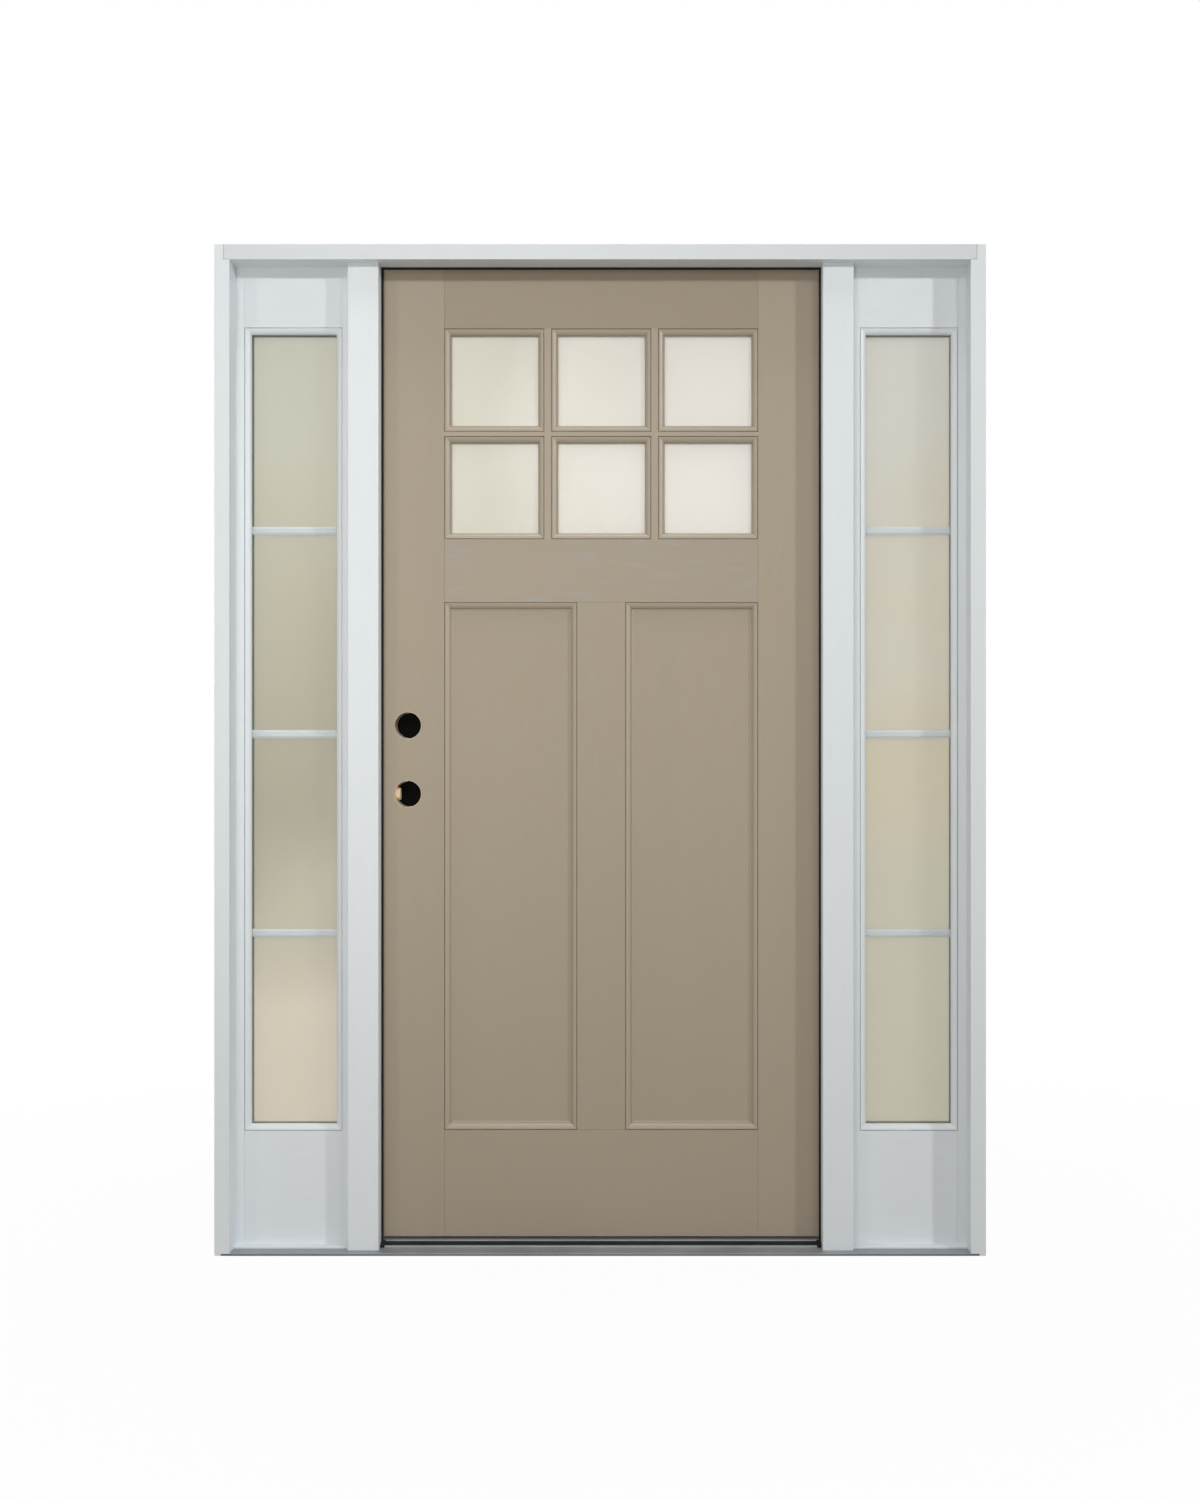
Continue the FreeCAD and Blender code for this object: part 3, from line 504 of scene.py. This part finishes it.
# %% [markdown]
# ## Obscure glass
#
# The panes are satin-etched, so that light comes through and shapes don't. Etched glass is milky:
# part of the light is scattered back from its surface and the rest passes through, about three
# quarters of it in the sidelights and half in the door. The sheet's own colour leans to yellow, and
# the panes in the door look paler than the taller sidelight sheets. A slow drift between three
# colours along the sheet stands for the uneven light of a room behind it, and a very fine relief
# keeps the gloss soft.

# %% Etched glass recipe
SLOW_WAVES = (2.2, 1)
DRIFT_WAVER = 0.15
# Shares of the way along the sheet between which one colour turns into the next
FIRST_CHANGE = (0.12, 0.42)
SECOND_CHANGE = (0.5, 0.95)
GRIT = (900, 1)
GRIT_PALENESS = 0.05
GRIT_DEPTH = 0.0002
GRIT_STRENGTH = 0.1
ETCHED_ROUGHNESS = (0.34, 0.44)
REFRACTIVE_INDEX = 1.5


def etched_glass(name, colours, ends, drift_way, passing):
    """Milky glass that drifts through three colours between two ends along a direction."""
    material, tree, shader = start_finish(name)
    own = add(tree, "TexCoord", {}).outputs["Object"]
    along = add(tree, "VectorMath", {0: own, 1: drift_way}, operation="DOT_PRODUCT").outputs["Value"]
    slow = noise(tree, place_on(tree), *SLOW_WAVES)
    waver = DRIFT_WAVER * (ends[1] - ends[0])
    drift = calculate(tree, "ADD", along, noise_over(tree, slow, -waver, waver))
    share = spread(tree, drift, ends[0], ends[1])
    first_half = mix(tree, spread(tree, share, *FIRST_CHANGE), colours[0], colours[1])
    colour = mix(tree, spread(tree, share, *SECOND_CHANGE), first_half, colours[2])
    grit = noise(tree, place_on(tree), *GRIT)
    pale_grains = noise_over(tree, grit, 0, GRIT_PALENESS)
    wire(tree, shader.inputs["Base Color"], mix(tree, pale_grains, colour, WHITE))
    wire(tree, shader.inputs["Roughness"], noise_over(tree, slow, *ETCHED_ROUGHNESS))
    wire(tree, shader.inputs["Normal"], relief(tree, grit, GRIT_DEPTH, GRIT_STRENGTH))
    shader.inputs["Transmission Weight"].default_value = passing
    shader.inputs["IOR"].default_value = REFRACTIVE_INDEX
    return material


print("colours change over", FIRST_CHANGE, "and", SECOND_CHANGE, "of a sheet")

# %% Glass for each opening
LEFT_COLOURS = (card(230, 219, 198), card(171, 163, 138), card(173, 168, 151))
RIGHT_COLOURS = (card(212, 206, 185), card(217, 206, 179), card(220, 216, 206))
PANE_COLOURS = (card(220, 215, 200), card(238, 233, 222), card(250, 245, 238))
SIDELIGHT_PASSING = 0.75
PANE_PASSING = 0.5
UPWARD = (0, 0, 1)
RIGHTWARD = (1, 0, 0)

sidelight_ends = [corner.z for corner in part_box("left_sidelight_glass")]
pane_ends = [corner.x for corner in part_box("light_panes")]
obscure_glass = {
    "left_sidelight_glass": etched_glass("left_glass", LEFT_COLOURS, sidelight_ends, UPWARD,
                                         SIDELIGHT_PASSING),
    "right_sidelight_glass": etched_glass("right_glass", RIGHT_COLOURS, sidelight_ends, UPWARD,
                                          SIDELIGHT_PASSING),
    "light_panes": etched_glass("pane_glass", PANE_COLOURS, pane_ends, RIGHTWARD, PANE_PASSING),
}
print("sidelight glass from", [round(end, 3) for end in sidelight_ends], "m")

# %% [markdown]
# ## Clear glass
#
# The sidelights are sealed units with a clear outer sheet. A clear sheet is nearly invisible, so it
# is drawn by how little of it shows: a trace of green, a trace of dust and a faint reflection.

# %% Clear glass finish
CLEAN_SHEET = card(222, 235, 228)
DUSTY_SHEET = card(240, 242, 238)
SHEET_DUST = (140, 3)
SHEET_DUST_GROWTH = (0.4, 0.7)
SHEET_ROUGHNESS = (0.03, 0.1)
SHEET_SHOWING = 0.07


def clear_glass():
    """A clear sheet: almost all see-through, with a trace of green and of dust."""
    material, tree, shader = start_finish("clear_glass")
    dust = noise(tree, place_on(tree), *SHEET_DUST)
    wire(tree, shader.inputs["Base Color"], mix(tree, dust, CLEAN_SHEET, DUSTY_SHEET))
    wire(tree, shader.inputs["Roughness"], spread(tree, dust, *SHEET_DUST_GROWTH, *SHEET_ROUGHNESS))
    shader.inputs["Alpha"].default_value = SHEET_SHOWING
    return material


outer_sheet_glass = clear_glass()
print("outer sheets show by", SHEET_SHOWING)

# %% [markdown]
# ## Metal, rubber and enamel
#
# The sill is extruded aluminium. Drawing it through the die leaves fine lines along its length,
# which is why the noise here is squeezed hard along X: it varies quickly across the sill and hardly
# at all along it. Its upright nose is painted darker below the deck's bevel, as a painted dark
# reflection. The same recipe with other colours and another direction gives the hinges' satin
# steel. The weatherstrip, the thermal break and the corner pads are dull black rubber, matt but
# never perfectly even. The slim bars in the sidelights wear baked white enamel, smoother than the
# sprayed boards.

# %% Drawn metal
DRAWN_LINES = (700, 4)
SMUDGES = (9, 4)
# Lines and smudges are added up, and this is the middle of their sum
LINES_AND_SMUDGES = (0.75, 1.25)
METAL_SMOOTHER = 0.07
METAL_ROUGHER = 0.09
LINE_DEPTH = 0.0003
LINE_STRENGTH = 0.25
ALONG_SILL = (0.01, 1, 1)
ALONG_HINGE = (1, 1, 0.02)
# Dark grey of the painted reflection on the sill's upright nose
NOSE_PAINTED_REFLECTION = card(88, 91, 95)
PAINTED_REFLECTION_EDGE = 0.001
SILL_NOSE = 0.0036


def drawn_metal(name, dark, light, squeeze, roughness, metallic, painted_reflection_below=None):
    """Metal with fine lines drawn one way, and if asked a painted dark reflection below a level."""
    material, tree, shader = start_finish(name)
    lines = noise(tree, place_on(tree, squeeze), *DRAWN_LINES)
    smudges = noise(tree, place_on(tree), *SMUDGES)
    share = spread(tree, calculate(tree, "ADD", lines, smudges), *LINES_AND_SMUDGES)
    colour = mix(tree, share, dark, light)
    if painted_reflection_below:
        level = add(tree, "SeparateXYZ", {"Vector": place_on(tree)}).outputs["Z"]
        # Painted dark reflection: below this level the colour turns dark grey
        colour = mix(tree, spread(tree, level, painted_reflection_below - PAINTED_REFLECTION_EDGE, painted_reflection_below), NOSE_PAINTED_REFLECTION, colour)
    wire(tree, shader.inputs["Base Color"], colour)
    wire(tree, shader.inputs["Roughness"],
         noise_over(tree, smudges, roughness - METAL_SMOOTHER, roughness + METAL_ROUGHER))
    wire(tree, shader.inputs["Normal"], relief(tree, lines, LINE_DEPTH, LINE_STRENGTH))
    shader.inputs["Metallic"].default_value = metallic
    return material


sill_metal = drawn_metal("sill_metal", dark=card(145, 149, 153), light=card(165, 168, 171),
                         squeeze=ALONG_SILL, roughness=0.42, metallic=0.4, painted_reflection_below=SILL_NOSE)
cap_metal = drawn_metal("cap_metal", dark=card(127, 128, 128), light=card(146, 146, 146),
                        squeeze=ALONG_SILL, roughness=0.45, metallic=0.5)
hinge_steel = drawn_metal("hinge_steel", dark=card(138, 135, 129), light=card(164, 160, 153),
                          squeeze=ALONG_HINGE, roughness=0.34, metallic=1.0)
print("metal for sill, cap and hinges")

# %% Rubber
RUBBER_SKIN = (420, 3)
RUBBER_DUST = (23, 4)
RUBBER_DUST_GROWTH = (0.35, 0.8)
RUBBER_ROUGHNESS = (0.6, 0.78)
SKIN_DEPTH = 0.0004
SKIN_STRENGTH = 0.3


def black_rubber(name, clean, dusty, shine):
    """Dull black rubber with dust on it."""
    material, tree, shader = start_finish(name)
    skin = noise(tree, place_on(tree), *RUBBER_SKIN)
    dust = spread(tree, noise(tree, place_on(tree), *RUBBER_DUST), *RUBBER_DUST_GROWTH)
    wire(tree, shader.inputs["Base Color"], mix(tree, dust, clean, dusty))
    wire(tree, shader.inputs["Roughness"], noise_over(tree, skin, *RUBBER_ROUGHNESS))
    wire(tree, shader.inputs["Normal"], relief(tree, skin, SKIN_DEPTH, SKIN_STRENGTH))
    shader.inputs["Specular IOR Level"].default_value = shine
    return material


strip_rubber = black_rubber("black_rubber", clean=card(12, 12, 12), dusty=card(30, 29, 28), shine=0.3)
# Near-black, low-shine rubber for the caps in the bores, which are painted shade
cap_rubber = black_rubber("cap_rubber", clean=card(9, 9, 9), dusty=card(16, 16, 15), shine=0.1)
print("rubber for strips and dust caps")

# %% Enamel
ALONG_BAR = (0.2, 1, 1)
ENAMEL_FILM = (160, 2)
ENAMEL_DARK = card(212, 218, 222)
ENAMEL_LIGHT = card(222, 227, 230)
ENAMEL_ROUGHNESS = (0.26, 0.34)
ENAMEL_DEPTH = 0.0002
ENAMEL_STRENGTH = 0.1


def white_enamel():
    """Baked enamel on the slim aluminium bars."""
    material, tree, shader = start_finish("white_enamel")
    film = noise(tree, place_on(tree, ALONG_BAR), *ENAMEL_FILM)
    wire(tree, shader.inputs["Base Color"], mix(tree, film, ENAMEL_DARK, ENAMEL_LIGHT))
    wire(tree, shader.inputs["Roughness"], noise_over(tree, film, *ENAMEL_ROUGHNESS))
    wire(tree, shader.inputs["Normal"], relief(tree, film, ENAMEL_DEPTH, ENAMEL_STRENGTH))
    return material


bar_enamel = white_enamel()
print("enamel for the bars")

# %% [markdown]
# ## Every loaded piece gets its finish
#
# A loaded mesh is never edited, so its material goes on the object's own slot. Which finish a piece
# takes follows from its material in the record. Painted boards also need to know which way their
# grain runs, and their names tell: rails and strips lie level, mouldings and the like run both
# ways, and the rest is upright. A few pieces have a finish of their own.

# %% Dress the loaded pieces
LEVEL_BOARDS = ("top_rail", "bottom_rail", "base_strip")
TWO_WAY_PIECES = ("mouldings", "light_grid", "inside_stop")
PLAIN_FINISHES = {"white_bars": bar_enamel, "sill_metal": sill_metal, "cap_metal": cap_metal,
                  "black_rubber": strip_rubber, "hinge_steel": hinge_steel,
                  "clear_glass": outer_sheet_glass}
PAINTS = {"white_paint": white_paint, "taupe_paint": taupe_paint}
OWN_FINISHES = {"lock_stile": lock_stile_paint, "leaf_middle_rail": middle_rail_paint,
                "leaf_top_rail": top_rail_painted_shadow, "head_jamb": head_paint_and_shade, **obscure_glass}


def grain_way(name):
    """Which way a painted board's grain runs."""
    if name.endswith(TWO_WAY_PIECES):
        return "plain"
    return "level" if name.endswith(LEVEL_BOARDS) else "upright"


def finish_for(name, slot):
    """The finish of a loaded piece, by its name and its material in the record."""
    if name in OWN_FINISHES:
        return OWN_FINISHES[name]
    if slot in PAINTS:
        return PAINTS[slot][grain_way(name)]
    return PLAIN_FINISHES[slot]


for subpart in frame["record"]["subparts"]:
    piece = nodes[subpart["node"]]
    for slot in piece.material_slots:
        slot.link = "OBJECT"
        slot.material = finish_for(piece.name, subpart["material_slot"])
print("finishes on", len(nodes), "loaded pieces")

# %% [markdown]
# ## Modelling by hand, in code
#
# The small pieces are modelled as they would be by hand: start from a primitive, go into edit mode,
# select what has to change by the way it faces, and inset or bevel it. An operator acts on
# everything that is selected, so each piece starts with nothing selected. When a piece is done its
# place is moved into its mesh, because its finish is laid out from the object's origin.

# %% Helpers for modelling
SMOOTH_ANGLE = math.radians(30)
# How nearly a face has to face along Z to count as an end of a cylinder
END_FACING = 0.9


def begin(name, primitive, **settings):
    """Add a primitive with nothing else selected, and give it its name."""
    bpy.ops.object.select_all(action="DESELECT")
    primitive(**settings)
    piece = bpy.context.object
    piece.name = name
    piece.data.name = name
    return piece


def pick_ends(piece, top_only=False):
    """Go into edit mode with just the end faces of a cylinder selected."""
    bpy.ops.object.mode_set(mode="EDIT")
    bpy.ops.mesh.select_mode(type="FACE")
    bpy.ops.mesh.select_all(action="DESELECT")
    bpy.ops.object.mode_set(mode="OBJECT")
    for face in piece.data.polygons:
        facing = face.normal.z if top_only else abs(face.normal.z)
        face.select = facing > END_FACING
    bpy.ops.object.mode_set(mode="EDIT")


def settle(piece):
    """Move the piece's place into its mesh and smooth what is nearly flat."""
    bpy.ops.object.mode_set(mode="OBJECT")
    bpy.ops.object.select_all(action="DESELECT")
    piece.select_set(True)
    bpy.context.view_layer.objects.active = piece
    bpy.ops.object.transform_apply(location=True, rotation=True, scale=True)
    bpy.ops.object.shade_smooth_by_angle(angle=SMOOTH_ANGLE)


def dress(piece, finish, body):
    """Give a new piece its finish and the body that it moves with."""
    piece.data.materials.clear()
    piece.data.materials.append(finish)
    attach(piece, body)
    print(piece.name, len(piece.data.polygons), "faces, rides on", body)


print("modelling helpers ready")

# %% [markdown]
# ## Black caps in the bores, as painted shade
#
# Nothing is fitted in the two bores yet, and both look black from the front. A thin black cap,
# pressed in just short of the inside face, is painted shade: it puts a dark thing where the bores
# only show darkness. Each is a short cylinder whose faces are inset twice and pushed in, which
# leaves the raised rim and shallow dish of a pressed cap.

# %% Black caps in the bores, painted shade
CAP_SIDES = 64
CAP_PLAY = 0.0004
CAP_THICKNESS = 0.003
CAP_RECESS = 0.0015
CAP_RIM = 0.002
CAP_SLOPE = 0.001
CAP_DISH = 0.0008
CAP_BEVEL = CAP_DISH / 3
CAP_BEVEL_STEPS = 2
leaf_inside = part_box("lock_stile")[1].y


def bore_shade_cap(mount):
    """A pressed black cap near the inside face of a bore, painted shade for the darkness seen through it.
    """
    x, _, z = mount["pos_m"]
    middle = leaf_inside - CAP_RECESS - CAP_THICKNESS / 2
    piece = begin(f"{mount['name']}_dust_cap", bpy.ops.mesh.primitive_cylinder_add, vertices=CAP_SIDES,
                  radius=bore_radius(mount) - CAP_PLAY, depth=CAP_THICKNESS,
                  location=(x, middle, z), rotation=(QUARTER_TURN, 0, 0))
    pick_ends(piece)
    bpy.ops.mesh.inset(thickness=CAP_RIM, depth=0)
    bpy.ops.mesh.inset(thickness=CAP_SLOPE, depth=-CAP_DISH)
    bpy.ops.mesh.bevel(offset=CAP_BEVEL, segments=CAP_BEVEL_STEPS)
    settle(piece)
    dress(piece, cap_rubber, "leaf")


for bore in lock_bores:
    bore_shade_cap(bore)

# %% [markdown]
# ## The shipping dowel
#
# A short wooden dowel sits in the lower edge bore and shows in the lock bore as a pale stub. Dowels
# are cut from long rods and their ends are chamfered so that they enter a hole easily. A cylinder
# does for the rod, and a bevel on its two end faces makes the chamfers.

# %% Dowel and raw wood finish
DOWEL_SIDES = 48
DOWEL_RADIUS = 0.0123
DOWEL_STUB = 0.0098
DOWEL_SET_IN = 0.004
DOWEL_CHAMFER = 0.001
DOWEL_CHAMFER_STEPS = 2
DOWEL_WOOD = card(248, 226, 194)
DOWEL_WOOD_DARK = card(228, 198, 160)
WOOD_ROUGHNESS = (0.68, 0.82)
WOOD_DEPTH = 0.0005
WOOD_STRENGTH = 0.35


def raw_wood():
    """Bare pale wood with its fibres along X."""
    material, tree, shader = start_finish("raw_wood")
    colour, fibres = raw_wood_colour(tree, "level", DOWEL_WOOD, DOWEL_WOOD_DARK)
    wire(tree, shader.inputs["Base Color"], colour)
    wire(tree, shader.inputs["Roughness"], noise_over(tree, fibres, *WOOD_ROUGHNESS))
    wire(tree, shader.inputs["Normal"], relief(tree, fibres, WOOD_DEPTH, WOOD_STRENGTH))
    return material


def shipping_dowel(mount):
    """A dowel from the lock edge to just inside a bore."""
    x, y, z = mount["pos_m"]
    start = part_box("lock_stile")[0].x + DOWEL_SET_IN
    end = x - bore_radius(mount) + DOWEL_STUB
    piece = begin("shipping_dowel", bpy.ops.mesh.primitive_cylinder_add, vertices=DOWEL_SIDES,
                  radius=DOWEL_RADIUS, depth=end - start, location=((start + end) / 2, y, z),
                  rotation=(0, QUARTER_TURN, 0))
    pick_ends(piece)
    bpy.ops.mesh.bevel(offset=DOWEL_CHAMFER, segments=DOWEL_CHAMFER_STEPS)
    settle(piece)
    dress(piece, raw_wood(), "leaf")


shipping_dowel(min(lock_bores, key=lambda mount: mount["pos_m"][2]))

# %% [markdown]
# ## Hinge screws
#
# When the door stands open, each hinge shows four countersunk screws in either plate. A cross
# recess is the detail that makes a disc read as a screw. The head is a cylinder with its rim
# bevelled to a low dome, and two thin bars cut the cross with a boolean modifier. It is modelled
# once, then copied to its places and turned a little each time, as screws are never lined up.

# %% Screw head
SCREW_SIDES = 32
SCREW_RADIUS = 0.0045
SCREW_HEAD = 0.0009
SCREW_PROUD = 0.00035
DOME_STEPS = 3
CROSS_LENGTH = 0.0048
CROSS_WIDTH = 0.0009
CROSS_DEPTH = 0.0006


def screw_head():
    """A domed screw head with a cross recess, lying on the origin and facing up."""
    head = begin("screw_head", bpy.ops.mesh.primitive_cylinder_add, vertices=SCREW_SIDES,
                 radius=SCREW_RADIUS, depth=SCREW_HEAD, location=(0, 0, SCREW_PROUD - SCREW_HEAD / 2))
    pick_ends(head, top_only=True)
    bpy.ops.mesh.bevel(offset=SCREW_PROUD, segments=DOME_STEPS)
    bpy.ops.object.mode_set(mode="OBJECT")
    cross = begin("cross", bpy.ops.mesh.primitive_cube_add, size=1, location=(0, 0, SCREW_PROUD))
    cross.scale = (CROSS_LENGTH, CROSS_WIDTH, 2 * CROSS_DEPTH)
    bpy.ops.object.transform_apply(location=True, rotation=True, scale=True)
    bpy.ops.object.mode_set(mode="EDIT")
    bpy.ops.mesh.select_all(action="SELECT")
    bpy.ops.mesh.duplicate()
    bpy.ops.transform.rotate(value=QUARTER_TURN, orient_axis="Z", center_override=(0, 0, SCREW_PROUD))
    bpy.ops.object.mode_set(mode="OBJECT")
    recess = head.modifiers.new("cross_recess", "BOOLEAN")
    recess.operation = "DIFFERENCE"
    recess.use_self = True
    recess.object = cross
    bpy.context.view_layer.objects.active = head
    bpy.ops.object.modifier_apply(modifier="cross_recess")
    bpy.data.objects.remove(cross)
    return head


pattern_screw = screw_head()
print("one screw head,", len(pattern_screw.data.polygons), "faces")

# %% Screws in both plates of each hinge
HINGE_HEIGHT = 0.1016
# Screw levels from the middle of a hinge, and the two columns that they take in turn from its front edge
SCREW_ROWS = (-0.038, -0.0135, 0.0135, 0.038)
SCREW_COLUMNS = (0.0095, 0.0225)
SCREW_TURN = 37
hinge_low, hinge_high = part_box("hinge_leaf_wings")
hinge_middles = (hinge_low.z + HINGE_HEIGHT / 2, (hinge_low.z + hinge_high.z) / 2,
                 hinge_high.z - HINGE_HEIGHT / 2)


def hinge_screws(name, face, facing, body):
    """Screws in three plates that lie on one plane, joined into one piece."""
    copies = []
    for middle in hinge_middles:
        for row, level in enumerate(SCREW_ROWS):
            screw = pattern_screw.copy()
            screw.data = pattern_screw.data.copy()
            bpy.context.collection.objects.link(screw)
            screw.location = (face, hinge_low.y + SCREW_COLUMNS[row % 2], middle + level)
            screw.rotation_mode = "ZYX"
            screw.rotation_euler = (0, facing * QUARTER_TURN, math.radians(SCREW_TURN * len(copies)))
            copies.append(screw)
    bpy.ops.object.select_all(action="DESELECT")
    for screw in copies:
        screw.select_set(True)
    bpy.context.view_layer.objects.active = copies[0]
    bpy.ops.object.join()
    piece = bpy.context.object
    piece.name = name
    settle(piece)
    dress(piece, hinge_steel, body)


hinge_axis = sum(corner.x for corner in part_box("hinge_pins")) / 2
leaf_plate_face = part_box("hinge_stile")[1].x
frame_plate_face = 2 * hinge_axis - leaf_plate_face
hinge_screws("leaf_screws", leaf_plate_face, facing=1, body="leaf")
hinge_screws("frame_screws", frame_plate_face, facing=-1, body="frame")
bpy.data.objects.remove(pattern_screw)
